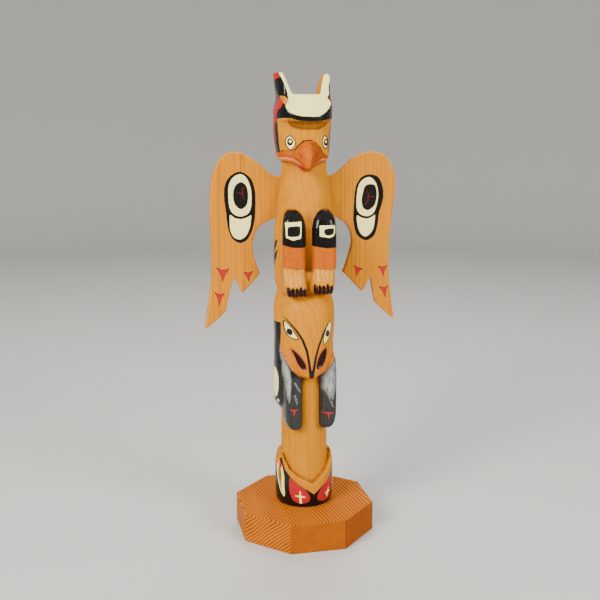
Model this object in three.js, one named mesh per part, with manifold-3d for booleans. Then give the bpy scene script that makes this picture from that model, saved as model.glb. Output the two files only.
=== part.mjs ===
import * as THREE from 'three';
import { mergeVertices } from 'three/addons/utils/BufferGeometryUtils.js';
import Module from 'manifold-3d';

const wasm = await Module();
wasm.setup();

// A carved and painted model totem pole on an octagonal block: a horned thunderbird with spread wings,
// its feet on the head of a whale whose flippers and tail flukes wrap the pole below.
// Millimetres, Z up, the front faces -Y, the origin is at the centre of the block's underside.

// Driving dimensions
const BASE_ACROSS_FLATS = 89;
const BASE_HEIGHT = 20;
const BASE_EDGE_BREAK = 0.5;
const POLE_HEIGHT = 287.5;
const WING_THICKNESS = 5;
const WING_SETBACK = 4;
const WING_TONGUE = 4.5;
const JOINT_CLEARANCE = 0.3;

// The figure keeps its proportions: its carving is drawn 287.5 units tall, from the block's top up.
const DRAWN_HEIGHT = 287.5;
const UNIT = POLE_HEIGHT / DRAWN_HEIGHT;

// Each beast was carved with its face turned a little about the pole, in degrees.
const HEAD_TURN = -4;
const LEG_TURN = -2.5;
const WHALE_TURN = -2;
const FLIPPER_TURN = 2;
const TAIL_TURN = 7.5;

// Cutting prisms run this many units from the axis, past everything else.
const FAR = 60;

// Solids and their joining

function solidOf(geometry) {
  const bare = geometry.index ? geometry.toNonIndexed() : geometry.clone();
  bare.deleteAttribute('normal');
  bare.deleteAttribute('uv');
  const merged = mergeVertices(bare, 1e-5);
  return new wasm.Manifold(new wasm.Mesh({
    numProp: 3,
    vertProperties: new Float32Array(merged.attributes.position.array),
    triVerts: new Uint32Array(merged.index.array),
  }));
}

function geometryOf(solid) {
  const mesh = solid.getMesh();
  const geometry = new THREE.BufferGeometry();
  geometry.setAttribute('position', new THREE.BufferAttribute(mesh.vertProperties, 3));
  geometry.setIndex(new THREE.BufferAttribute(mesh.triVerts, 1));
  geometry.computeVertexNormals();
  return geometry;
}

function unite(solids) {
  return solids.reduce((sum, solid) => sum.add(solid));
}

// A closed body through level rings, listed from the lowest to the highest. Each ring is a rounded
// outline about (x, y): w is its half width, front and back are its depths, and square rounds it
// like a circle at 2 and like a softened block at 4.
function loft(rings, { side = 1, turn = 0, facets = 28 } = {}) {
  const positions = [];
  const push = (x, y, z) => positions.push(x * UNIT, y * UNIT, BASE_HEIGHT + z * UNIT);
  for (const { z, x = 0, y = 0, w, front, back = front, square = 2 } of rings) {
    for (let i = 0; i < facets; i += 1) {
      const angle = (i * 2 * Math.PI) / facets;
      const across = Math.cos(angle);
      const along = Math.sin(angle);
      const reach = along < 0 ? front : back;
      push(
        side * x + w * Math.sign(across) * Math.abs(across) ** (2 / square),
        y + reach * Math.sign(along) * Math.abs(along) ** (2 / square),
        z,
      );
    }
  }
  const lowest = rings[0];
  const highest = rings[rings.length - 1];
  push(side * (lowest.x ?? 0), lowest.y ?? 0, lowest.z);
  push(side * (highest.x ?? 0), highest.y ?? 0, highest.z);
  const foot = rings.length * facets;
  const faces = [];
  for (let i = 0; i < facets; i += 1) {
    const next = (i + 1) % facets;
    for (let ring = 0; ring < rings.length - 1; ring += 1) {
      const low = ring * facets;
      const high = low + facets;
      faces.push(low + i, low + next, high + next, low + i, high + next, high + i);
    }
    const top = (rings.length - 1) * facets;
    faces.push(foot, next, i, foot + 1, top + i, top + next);
  }
  const geometry = new THREE.BufferGeometry();
  geometry.setAttribute('position', new THREE.Float32BufferAttribute(positions, 3));
  geometry.setIndex(faces);
  geometry.rotateZ(THREE.MathUtils.degToRad(turn));
  return solidOf(geometry);
}

// A body of revolution about the pole's axis through [height, radius] pairs, closed on the axis.
function turned(profile, facets = 44) {
  const points = profile.map(([z, radius]) => new THREE.Vector2(radius * UNIT, z * UNIT));
  points.unshift(new THREE.Vector2(0, points[0].y));
  points.push(new THREE.Vector2(0, points[points.length - 1].y));
  const geometry = new THREE.LatheGeometry(points, facets);
  geometry.rotateX(Math.PI / 2);
  geometry.translate(0, 0, BASE_HEIGHT);
  return solidOf(geometry);
}

function shapeOf(corners) {
  return new THREE.Shape(corners.map(([across, up]) => new THREE.Vector2(across * UNIT, up * UNIT)));
}

// A prism seen from the front: its outline lies in X and Z and it runs from y = near to y = far.
function frontPrism(shape, near, far, turn = 0) {
  const geometry = new THREE.ExtrudeGeometry(shape, {
    depth: (far - near) * UNIT, bevelEnabled: false, curveSegments: 12,
  });
  geometry.rotateX(Math.PI / 2);
  geometry.translate(0, far * UNIT, BASE_HEIGHT);
  geometry.rotateZ(THREE.MathUtils.degToRad(turn));
  return solidOf(geometry);
}

// A prism seen from the right side: its outline lies in Y and Z and it runs right across the pole.
function sidePrism(shape, turn = 0) {
  const geometry = new THREE.ExtrudeGeometry(shape, { depth: 2 * FAR * UNIT, bevelEnabled: false });
  geometry.rotateX(Math.PI / 2);
  geometry.rotateZ(Math.PI / 2);
  geometry.translate(-FAR * UNIT, 0, BASE_HEIGHT);
  geometry.rotateZ(THREE.MathUtils.degToRad(turn));
  return solidOf(geometry);
}

// Thunderbird

const TRUNK = [
  [0, 16.4], [38, 15.7], [60, 15.5], [96, 16.2], [128, 17], [140, 17.2], [147, 17.8], [151.5, 19],
  [157, 19.8], [168, 20.1], [188, 19.8], [198, 18.9], [208, 17.6], [218, 15.8], [224, 15.1],
  [229, 14.7], [240, 14.6], [256, 14.6],
];

function head() {
  const skull = loft([
    { z: 227, x: -0.6, w: 3.5, front: 16.8, back: 6 },
    { z: 229, x: -0.8, w: 8, front: 17.4, back: 11, square: 2.2 },
    { z: 231, x: -1, w: 12.4, front: 18, back: 14, square: 2.3 },
    { z: 233, x: -1.1, w: 16.2, front: 19.2, back: 15.5, square: 2.4 },
    { z: 236.4, x: -1.2, w: 17.2, front: 19.4, back: 16.6, square: 2.4 },
    { z: 238.6, x: -1.2, w: 17, front: 18.2, back: 17, square: 2.5 },
    { z: 244, x: -1.5, w: 17.8, front: 18, back: 17.8, square: 2.6 },
    { z: 251.4, x: -1.6, w: 18.3, front: 17.9, back: 18.2, square: 2.6 },
    { z: 254.2, x: -1.5, w: 18.4, front: 18.9, back: 18.2, square: 2.6 },
    { z: 257, x: -1.4, w: 18.4, front: 20.8, back: 18.2, square: 2.6 },
    { z: 262, x: -1.2, w: 18, front: 19, back: 17, square: 2.4 },
  ], { turn: HEAD_TURN, facets: 36 });
  return unite([skull, crown(), beak()]);
}

// The brow band, the sloping forehead and the two horns are one block, shaped from the front, from
// the side and from above.
function crown() {
  const facing = shapeOf([
    [-20, 257.8], [-19.8, 262], [-18.2, 268], [-17, 272], [-18.6, 279], [-19.9, 286.2],
    [-19.1, 287.5], [-14.4, 287.3], [-8.8, 273.8], [9, 273.8], [11.2, 284.2], [12.2, 286.2],
    [13.6, 286.8], [15, 286.2], [15.9, 284], [16, 273], [16.4, 268], [17.2, 264.5], [17.6, 258.2],
    [9, 256.6], [-1, 256.2], [-11, 256.6],
  ]);
  const profile = shapeOf([
    [-22.4, 255], [-22.9, 260.4], [-9, 273.8], [-6, 288], [7, 288], [14, 273], [17.5, 262], [18.5, 255],
  ]);
  const plan = loft([
    { z: 255, x: -1.2, w: 18.6, front: 23, back: 18, square: 2.6 },
    { z: 268, x: -1.2, w: 18.6, front: 23, back: 18, square: 2.6 },
    { z: 271.5, y: 4, w: 18.6, front: 17.8, back: 13.5, square: 2.5 },
    { z: 279, y: 4, w: 18.6, front: 15.8, back: 12, square: 2.4 },
    { z: 290, y: 4, w: 20, front: 16.4, back: 10, square: 2.4 },
  ], { turn: HEAD_TURN, facets: 40 });
  return frontPrism(facing, -FAR, FAR, HEAD_TURN)
    .intersect(sidePrism(profile, HEAD_TURN))
    .intersect(plan);
}

function beak() {
  return loft([
    { z: 225.6, x: -0.8, y: -24, w: 0.9, front: 2.4, back: 5 },
    { z: 227.6, x: -0.8, y: -21.6, w: 2.9, front: 5.4, back: 6, square: 1.7 },
    { z: 230.2, x: -0.8, y: -18, w: 5.6, front: 9.2, back: 6, square: 1.6 },
    { z: 233.4, x: -0.8, y: -15, w: 8.8, front: 12.2, back: 6, square: 1.55 },
    { z: 236.6, x: -0.8, y: -14, w: 10.6, front: 12.8, back: 6, square: 1.5 },
    { z: 239.8, x: -0.8, y: -14, w: 9.4, front: 11, back: 6, square: 1.55 },
    { z: 243, x: -0.8, y: -13, w: 6.4, front: 9, back: 6, square: 1.7 },
    { z: 246, x: -0.8, y: -12, w: 3, front: 6.4, back: 6, square: 1.9 },
  ], { turn: HEAD_TURN, facets: 20 });
}

// The legs' outer sides lie evenly about the middle, and the right leg is the thicker one.
const LEG_X = 10.6;
const LEG_LEFT_THICKER = 0.4;
const LEG_RIGHT_THICKER = 0.95;
const LEG_Y = -12;
const CLAWS = 5;
const CLAW_PITCH = 2.6;
const TOE_IN = 1.2;
const RIGHT_FOOT_RISE = 1.2;
const ANKLE_HEIGHT = 156;

function leg(side) {
  const rise = (z) => (side > 0 && z < ANKLE_HEIGHT ? z + RIGHT_FOOT_RISE : z);
  const rings = [
    { z: 147, x: LEG_X - TOE_IN, w: 5.8, front: 13.4, square: 3 },
    { z: 148.6, x: LEG_X - TOE_IN, w: 6.8, front: 14.4, square: 3.6 },
    { z: 151.4, x: LEG_X - TOE_IN, w: 7.1, front: 14.4, square: 3.8 },
    { z: 154.5, x: LEG_X - TOE_IN / 2, w: 7.1, front: 13.3, square: 4 },
    { z: 160, x: LEG_X - TOE_IN / 4, w: 6.9, front: 12.4, square: 4.2 },
    { z: 163.8, x: LEG_X, w: 6.9, front: 12.1, square: 4.2 },
    { z: 164.6, x: LEG_X, w: 7.3, front: 12.5, square: 4.4 },
    { z: 178, x: LEG_X, w: 7.4, front: 12.4, square: 4.4 },
    { z: 190, x: LEG_X, w: 7.4, front: 11.9, square: 4 },
    { z: 195.4, x: LEG_X, w: 6.9, front: 10.7, square: 3.3 },
    { z: 199, x: LEG_X, w: 5.8, front: 8.7, square: 2.6 },
    { z: 201.4, x: LEG_X, w: 3.3, front: 6.2, square: 2.2 },
  ];
  const thicker = side < 0 ? LEG_LEFT_THICKER : LEG_RIGHT_THICKER;
  const limb = loft(
    rings.map(({ z, x, w, ...ring }) => (
      { ...ring, z: rise(z), x: x - thicker, w: w + thicker, y: LEG_Y, back: 5 }
    )),
    { side, turn: LEG_TURN, facets: 24 },
  );
  const claws = [];
  for (let i = 0; i < CLAWS; i += 1) {
    const outwards = i - (CLAWS - 1) / 2;
    const x = LEG_X - TOE_IN - thicker + outwards * CLAW_PITCH;
    const y = -25 + 0.4 * Math.abs(outwards);
    claws.push(loft([
      { z: rise(146), x, y: y - 0.4, w: 0.35, front: 0.4 },
      { z: rise(147.4), x, y, w: 0.9, front: 1.4 },
      { z: rise(149.8), x, y, w: 1.15, front: 2 },
      { z: rise(152.4), x, y, w: 1.05, front: 1.5 },
    ], { side, turn: LEG_TURN, facets: 8 }));
  }
  return unite([limb, ...claws]);
}

// Whale

function whaleHead() {
  return loft([
    { z: 91.6, y: -12, w: 5, front: 13.4, back: 6, square: 2 },
    { z: 93.6, y: -10, w: 9.6, front: 16.8, back: 8, square: 2.1 },
    { z: 97, y: -6, w: 14.2, front: 21, back: 12, square: 2.15 },
    { z: 102, y: -2, w: 17.6, front: 25.2, back: 16, square: 2.15 },
    { z: 108, w: 19.4, front: 27.2, back: 17, square: 2.1 },
    { z: 116, w: 19.9, front: 26.9, back: 17.5, square: 2.1 },
    { z: 125, w: 20.4, front: 25.8, back: 18, square: 2.15 },
    { z: 133, w: 20.3, front: 24.4, back: 18.4, square: 2.2 },
    { z: 137.4, w: 19.9, front: 23.3, back: 18.4, square: 2.2 },
    { z: 140.5, w: 19.3, front: 22, back: 18.2, square: 2.2 },
    { z: 144.2, w: 17.9, front: 20, back: 17.8, square: 2.1 },
    { z: 146.6, w: 16, front: 17.6, back: 16, square: 2 },
  ], { turn: WHALE_TURN, facets: 40 });
}

// The whale's flanks show as raised panels on both sides of the pole, between these two directions.
// The left one runs up behind the cheek and the right one ends below the eye.
const FLANK_FROM = 66;
const FLANK_TO = 128;
const FLANK_LEFT = [
  [66, 14], [67.4, 17.5], [72, 20.2], [96, 20.4], [118, 20.1], [128, 20.4], [135, 20.5], [141, 19.7],
  [146, 18.2], [148, 15],
];
const FLANK_RIGHT = [[66, 14], [67.4, 17.5], [72, 20.6], [96, 20.6], [108, 19.6], [120, 18.4], [128, 16]];

function flank(profile, side) {
  const reach = (degrees) => {
    const angle = THREE.MathUtils.degToRad(side * degrees);
    return [FAR * Math.sin(angle), -FAR * Math.cos(angle)];
  };
  const sector = shapeOf([
    reach(FLANK_FROM), reach((FLANK_FROM + FLANK_TO) / 2), reach(FLANK_TO), [0, 0],
  ]);
  const wedge = new THREE.ExtrudeGeometry(sector, { depth: POLE_HEIGHT, bevelEnabled: false });
  return turned(profile).intersect(solidOf(wedge));
}

// The flippers end under the whale's cheeks. The left one lies further in and ends higher.
const FLIPPER_Y = -11;
const FLIPPER_X_LEFT = 11.3;
const FLIPPER_X_RIGHT = 12.4;
const FLIPPER_TOP_LEFT = 118;
const FLIPPER_TOP_RIGHT = 109;

function flipper(side) {
  const top = side < 0 ? FLIPPER_TOP_LEFT : FLIPPER_TOP_RIGHT;
  const middle = side < 0 ? FLIPPER_X_LEFT : FLIPPER_X_RIGHT;
  const rings = [
    { z: 55.6, x: middle - 1.8, w: 3.6, front: 8, square: 3.4 },
    { z: 56.8, x: middle - 1.2, w: 4.7, front: 8.9, square: 3.6 },
    { z: 59.6, x: middle - 0.5, w: 5.4, front: 9.5, square: 3.8 },
    { z: 64, x: middle - 0.1, w: 5.8, front: 9.7, square: 4 },
    { z: 78, x: middle, w: 5.9, front: 9.7, square: 4 },
    { z: 94, x: middle, w: 5.9, front: 9.4, square: 4 },
    { z: top - 6, x: middle, w: 5.5, front: 8, square: 3.4 },
    { z: top, x: middle, w: 4, front: 3.4, square: 2.4 },
  ];
  return loft(
    rings.map((ring) => ({ ...ring, y: FLIPPER_Y, back: 6 })),
    { side, turn: FLIPPER_TURN, facets: 24 },
  );
}

// The tail flukes are a collar round the pole's foot, opened in front by a V down to the shaft.
function tail() {
  const collar = turned([
    [0, 18.6], [3, 19.4], [10, 19.9], [24, 20], [30, 19.6], [34.4, 18.6], [36.2, 17.4], [36.6, 15.5],
  ]);
  const notch = shapeOf([
    [0, 16.5], [4.6, 20], [10.5, 24.2], [14.4, 29], [16.4, 34], [17, FAR],
    [-17.4, FAR], [-16.8, 32.4], [-14.6, 26], [-10.5, 22.4], [-4.6, 19.3],
  ]);
  return collar.subtract(frontPrism(notch, -FAR, 0, TAIL_TURN));
}

// Wings

// Each wing is a flat board seen from the front, as distances out from the axis and heights above
// the block's top: a shoulder, two hanging feathers and a hollow under the arm.
const WING_LEFT = {
  shoulder: [[21.2, 223.1], [31.3, 231.8], [44, 237.9], [54.5, 233.5], [60.4, 219], [61.6, 200]],
  outside: [[61.2, 178], [61.4, 156], [66.3, 122.1]],
  outerFeather: [[59.8, 127.1], [52.2, 133.9]],
  notch: [[49.7, 145.6], [46.7, 156.6]],
  innerTip: [41, 145.4],
  innerFeather: [29.2, 158.4],
  hollow: [[32.6, 168], [33.9, 178.5], [29.8, 189], [19.5, 194.9]],
};
const WING_RIGHT = {
  shoulder: [[22.7, 223.8], [34.9, 234.1], [47, 237.5], [57.5, 233.5], [63.2, 220], [63, 206.7]],
  outside: [[60.2, 185.1], [59.9, 155], [63.9, 123.4]],
  outerFeather: [[57, 129.6], [50.7, 135.4]],
  notch: [[48.4, 146], [47.2, 154.4]],
  innerTip: [41.2, 143.5],
  innerFeather: [27.6, 157.6],
  hollow: [[31.4, 168], [33.6, 179.5], [30, 189.4], [22, 194.8]],
};
const ROOT_TOP = 222.2;
const ROOT_BOTTOM = 194.9;
const ROOT_RADIUS = 15.7;

// How far from the axis a wing's tongue starts, inside its slot in the pole's side.
const tongueStart = ROOT_RADIUS * UNIT - WING_TONGUE;

function wingShape(outline, side) {
  const at = ([out, up]) => new THREE.Vector2(side * out * UNIT, up * UNIT);
  const tongue = tongueStart / UNIT;
  const shape = new THREE.Shape();
  shape.moveTo(...at([tongue, ROOT_BOTTOM]).toArray());
  shape.lineTo(...at([tongue, ROOT_TOP]).toArray());
  shape.lineTo(...at([ROOT_RADIUS, ROOT_TOP]).toArray());
  shape.splineThru(outline.shoulder.map(at));
  shape.splineThru(outline.outside.map(at));
  shape.splineThru(outline.outerFeather.map(at));
  shape.splineThru(outline.notch.map(at));
  shape.lineTo(...at(outline.innerTip).toArray());
  shape.lineTo(...at(outline.innerFeather).toArray());
  shape.splineThru(outline.hollow.map(at));
  shape.lineTo(...at([tongue, ROOT_BOTTOM]).toArray());
  return shape;
}

const wingFront = WING_SETBACK - WING_THICKNESS / 2;

function wingGeometry(outline, side) {
  const board = new THREE.ExtrudeGeometry(wingShape(outline, side), {
    depth: WING_THICKNESS, bevelEnabled: false, curveSegments: 5,
  });
  board.rotateX(Math.PI / 2);
  board.translate(0, wingFront + WING_THICKNESS, BASE_HEIGHT);
  return geometryOf(solidOf(board));
}

// The slot that takes a wing's tongue, a clearance larger all round.
function wingSlot(side) {
  const inner = tongueStart - JOINT_CLEARANCE;
  const bottom = ROOT_BOTTOM * UNIT - JOINT_CLEARANCE;
  const top = ROOT_TOP * UNIT + JOINT_CLEARANCE;
  const slot = new THREE.BoxGeometry(FAR, WING_THICKNESS + 2 * JOINT_CLEARANCE, top - bottom);
  slot.translate(side * (inner + FAR / 2), WING_SETBACK, BASE_HEIGHT + (top + bottom) / 2);
  return solidOf(slot);
}

// Pieces

function poleGeometry() {
  const carved = unite([
    turned(TRUNK), head(), leg(-1), leg(1), whaleHead(), flank(FLANK_LEFT, -1), flank(FLANK_RIGHT, 1),
    flipper(-1), flipper(1), tail(),
  ]);
  return geometryOf(carved.subtract(wingSlot(-1)).subtract(wingSlot(1)));
}

function baseGeometry() {
  const sides = 8;
  const apothem = BASE_ACROSS_FLATS / 2;
  const corner = (flat) => flat / Math.cos(Math.PI / sides);
  const wide = corner(apothem);
  const broken = corner(apothem - BASE_EDGE_BREAK);
  const geometry = new THREE.LatheGeometry([
    new THREE.Vector2(0, 0),
    new THREE.Vector2(broken, 0),
    new THREE.Vector2(wide, BASE_EDGE_BREAK),
    new THREE.Vector2(wide, BASE_HEIGHT - BASE_EDGE_BREAK),
    new THREE.Vector2(broken, BASE_HEIGHT),
    new THREE.Vector2(0, BASE_HEIGHT),
  ], sides, Math.PI / sides);
  geometry.rotateX(Math.PI / 2);
  return geometryOf(solidOf(geometry));
}

function piece(name, geometry, colour, roughness) {
  const material = new THREE.MeshStandardMaterial({ color: colour, roughness, metalness: 0 });
  const mesh = new THREE.Mesh(geometry, material);
  mesh.name = name;
  return mesh;
}

const totem = new THREE.Group();
totem.add(
  piece('base', baseGeometry(), 0xc8763a, 0.55),
  piece('pole', poleGeometry(), 0xe0a24c, 0.4),
  piece('wing_left', wingGeometry(WING_LEFT, -1), 0xdc9a48, 0.42),
  piece('wing_right', wingGeometry(WING_RIGHT, 1), 0xe2a850, 0.42),
);

export default totem;
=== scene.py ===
import logging
import math
from dataclasses import dataclass, field
from enum import Enum
from typing import Any, Callable, Sequence

import bpy
import numpy as np
from mathutils import Matrix, Vector


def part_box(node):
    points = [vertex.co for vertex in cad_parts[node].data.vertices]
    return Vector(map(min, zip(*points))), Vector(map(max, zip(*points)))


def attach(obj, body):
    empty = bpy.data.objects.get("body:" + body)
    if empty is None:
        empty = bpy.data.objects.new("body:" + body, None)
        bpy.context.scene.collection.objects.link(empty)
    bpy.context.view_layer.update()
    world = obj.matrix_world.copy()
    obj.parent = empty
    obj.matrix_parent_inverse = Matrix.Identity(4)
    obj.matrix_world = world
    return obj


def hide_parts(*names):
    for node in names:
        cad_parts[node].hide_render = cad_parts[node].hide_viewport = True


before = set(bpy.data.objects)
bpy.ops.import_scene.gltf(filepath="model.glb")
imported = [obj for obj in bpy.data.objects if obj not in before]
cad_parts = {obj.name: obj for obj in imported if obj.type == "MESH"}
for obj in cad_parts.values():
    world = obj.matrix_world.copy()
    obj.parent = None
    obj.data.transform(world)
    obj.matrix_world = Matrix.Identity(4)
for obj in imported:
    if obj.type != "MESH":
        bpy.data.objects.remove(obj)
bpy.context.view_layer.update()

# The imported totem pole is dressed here: the carving is given an even fine skin, paint lines are drawn
# on it as distances held in attributes, and wood, paint, floor, lights and camera are added.
# Lengths in the carving and paint classes are millimetres, with heights above the block's top.

MM = 0.001
BASE_TOP = float(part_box("base")[1][2])

# Distances from a paint line are kept up to this far from it.
REACH = 3.0

# Millimetres round the pole for each degree of bearing, at the girth of each part.
HEAD_ARC = 0.33
LEG_ARC = 0.35
FLANK_ARC = 0.357
FLIPPER_ARC = 0.36
COLLAR_ARC = 0.345
KNIFE_ARC = 0.3

# The same all over every finish.
COAT_ROUGHNESS = 0.16
SPECULAR_LEVEL = 0.08
BUMP_STRENGTH = 0.55

# The place in metres that every light points at.
LIT_PLACE = (0.0, 0.0, 0.17)

log = logging.getLogger("totem")

Array = np.ndarray
Points = Sequence[tuple[float, float]]


class Coat(Enum):
    """The layers of paint, from the first brushed on to the last."""

    ORANGE = "orange"
    PINK = "pink"
    RED = "red"
    BLACK = "black"
    CLAW = "claw"
    CREAM = "cream"
    DARK = "dark"
    MARK = "mark"
    FADED = "faded"
    INK = "ink"


class Glaze(Enum):
    """Soft layers without an edge: painted shade and a red blush on bare wood, wear and a painted grey
    sheen on black paint, and pale streaks with painted edge highlights, and painted shade, over all.
    """

    SHADE = "shade"
    BLUSH = "blush"
    STREAK_AND_HIGHLIGHT = "streak_and_highlight"
    WEAR_AND_SHEEN = "wear_and_sheen"
    DEPTH = "depth"


@dataclass(frozen=True)
class Enamel:
    """A brushed paint: its colour, how rough it dries and how much clear gloss lies on it."""

    colour: tuple[float, float, float]
    rough: float
    gloss: float
    patch: float = 0.12


ENAMELS: dict[Coat, Enamel] = {
    Coat.ORANGE: Enamel((0.5, 0.104, 0.0005), 0.44, 0.1, 0.25),
    Coat.PINK: Enamel((0.66, 0.21, 0.055), 0.42, 0.15),
    Coat.RED: Enamel((0.44, 0.012, 0.018), 0.42, 0.15, 0.22),
    Coat.BLACK: Enamel((0.0045, 0.0045, 0.0048), 0.26, 0.34),
    Coat.CLAW: Enamel((0.016, 0.002, 0.002), 0.36, 0.2),
    Coat.CREAM: Enamel((0.98, 0.89, 0.36), 0.55, 0.04, 0.06),
    Coat.DARK: Enamel((0.006, 0.0055, 0.0055), 0.28, 0.35),
    Coat.MARK: Enamel((0.44, 0.013, 0.011), 0.42, 0.12, 0.2),
    Coat.FADED: Enamel((0.11, 0.01, 0.008), 0.5, 0.1),
    Coat.INK: Enamel((0.014, 0.009, 0.005), 0.36, 0.25),
}
INK_HALF_WIDTH = 0.28

# Their colours: a dark brown painted shade, a red blush, a pale gold for streaks and painted edge
# highlights, a grey for wear and painted sheen, and a red-brown painted shade that multiplies what lies
# under it.
GLAZES: dict[Glaze, tuple[float, float, float]] = {
    Glaze.SHADE: (0.09, 0.026, 0.004),
    Glaze.BLUSH: (0.5, 0.05, 0.012),
    Glaze.STREAK_AND_HIGHLIGHT: (0.86, 0.48, 0.14),
    Glaze.WEAR_AND_SHEEN: (0.4, 0.41, 0.43),
    Glaze.DEPTH: (0.3, 0.1, 0.04),
}


# Distances from outlines


def rounded(points: Points, steps: int = 5) -> list[tuple[float, float]]:
    """Rounds a closed outline through its points.

    Args:
        points: the outline's points in order.
        steps: new points for each one given.

    Returns:
        The points of the rounded outline.
    """
    given = np.asarray(points, float)
    curve: list[tuple[float, float]] = []
    for i in range(len(given)):
        a, b, c, d = (given[(i + k) % len(given)] for k in (-1, 0, 1, 2))
        for t in np.arange(steps) / steps:
            p = 0.5 * (2 * b + (c - a) * t + (2 * a - 5 * b + 4 * c - d) * t**2
                       + (3 * b - a - 3 * c + d) * t**3)
            curve.append((float(p[0]), float(p[1])))
    return curve


def filled(u: Array, v: Array, outline: Points) -> Array:
    """Signed distance from a closed outline, below zero inside it.

    Args:
        u: how far each place lies across.
        v: how high each place lies.
        outline: the outline's corners.

    Returns:
        One distance for each place, at most REACH either way.
    """
    corners = np.asarray(outline, float)
    result = np.full(u.shape, REACH)
    low, high = corners.min(axis=0) - REACH, corners.max(axis=0) + REACH
    near = (u > low[0]) & (u < high[0]) & (v > low[1]) & (v < high[1])
    pu, pv = u[near], v[near]
    best = np.full(pu.shape, REACH * REACH)
    inside = np.zeros(pu.shape, bool)
    for (ax, ay), (bx, by) in zip(corners, np.roll(corners, -1, axis=0)):
        ex, ey = bx - ax, by - ay
        wx, wy = pu - ax, pv - ay
        along = np.clip((wx * ex + wy * ey) / (ex * ex + ey * ey + 1e-9), 0, 1)
        best = np.minimum(best, (wx - ex * along) ** 2 + (wy - ey * along) ** 2)
        if ay != by:
            inside ^= ((ay > pv) != (by > pv)) & (pu < ex * (pv - ay) / ey + ax)
    distance = np.sqrt(best)
    result[near] = np.where(inside, -distance, distance)
    return result


def brushed(u: Array, v: Array, path: Points, widths: Sequence[float]) -> Array:
    """Signed distance from a brush stroke that swells and thins along its path.

    Args:
        u: how far each place lies across.
        v: how high each place lies.
        path: the stroke's points.
        widths: the stroke's half width at each of them.

    Returns:
        One distance for each place, below zero under the stroke.
    """
    result = np.full(u.shape, REACH)
    for (ax, ay), (bx, by), wa, wb in zip(path, path[1:], widths, widths[1:]):
        ex, ey = bx - ax, by - ay
        wx, wy = u - ax, v - ay
        along = np.clip((wx * ex + wy * ey) / (ex * ex + ey * ey + 1e-9), 0, 1)
        reach = np.hypot(wx - ex * along, wy - ey * along) - (wa + (wb - wa) * along)
        result = np.minimum(result, reach)
    return result


def oval(u: Array, v: Array, centre: tuple[float, float], across: float, up: float,
         lean: float = 0) -> Array:
    """Signed distance from an oval.

    Args:
        u: how far each place lies across.
        v: how high each place lies.
        centre: the oval's centre.
        across: its half width.
        up: its half height.
        lean: its turn in degrees.

    Returns:
        One distance for each place, below zero inside.
    """
    turn = math.radians(lean)
    du, dv = u - centre[0], v - centre[1]
    a = (du * math.cos(turn) + dv * math.sin(turn)) / across
    b = (dv * math.cos(turn) - du * math.sin(turn)) / up
    size = np.hypot(a, b)
    slope = np.hypot(a / across, b / up) + 1e-6
    return np.clip(size * (size - 1) / slope, -REACH, REACH)


def three_cusps(tips: Points, centre: tuple[float, float],
                waist: float = 0.66) -> list[tuple[float, float]]:
    """A small mark of three points with hollow sides.

    Args:
        tips: its three points.
        centre: its middle.
        waist: how far out the hollows lie, as a share of the way to the side.

    Returns:
        Its outline.
    """
    outline: list[tuple[float, float]] = []
    for (ax, ay), (bx, by) in zip(tips, list(tips[1:]) + [tips[0]]):
        hollow = (centre[0] + ((ax + bx) / 2 - centre[0]) * waist,
                  centre[1] + ((ay + by) / 2 - centre[1]) * waist)
        for t in (0.0, 0.2, 0.4, 0.6, 0.8):
            outline.append((
                (1 - t) ** 2 * ax + 2 * t * (1 - t) * (2 * hollow[0] - (ax + bx) / 2) + t * t * bx,
                (1 - t) ** 2 * ay + 2 * t * (1 - t) * (2 * hollow[1] - (ay + by) / 2) + t * t * by,
            ))
    return outline


def level(at: Array, line: Points) -> Array:
    """The height of an open line, read at each place across it."""
    across, height = zip(*line)
    return np.interp(at, across, height)


def unrolled(outline: Points, arc: float, sign: int = 1) -> list[tuple[float, float]]:
    """Bearings and heights as lengths round the pole and heights, mirrored where the sign is -1."""
    return [(sign * bearing * arc, height) for bearing, height in outline]


def soft(distance: Array, blur: float) -> Array:
    """Turns a distance into a share from 1 inside to 0 outside, over twice the blur."""
    share = np.clip(0.5 - distance / (2 * blur), 0, 1)
    return share * share * (3 - 2 * share)


# A carved piece's skin


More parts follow.
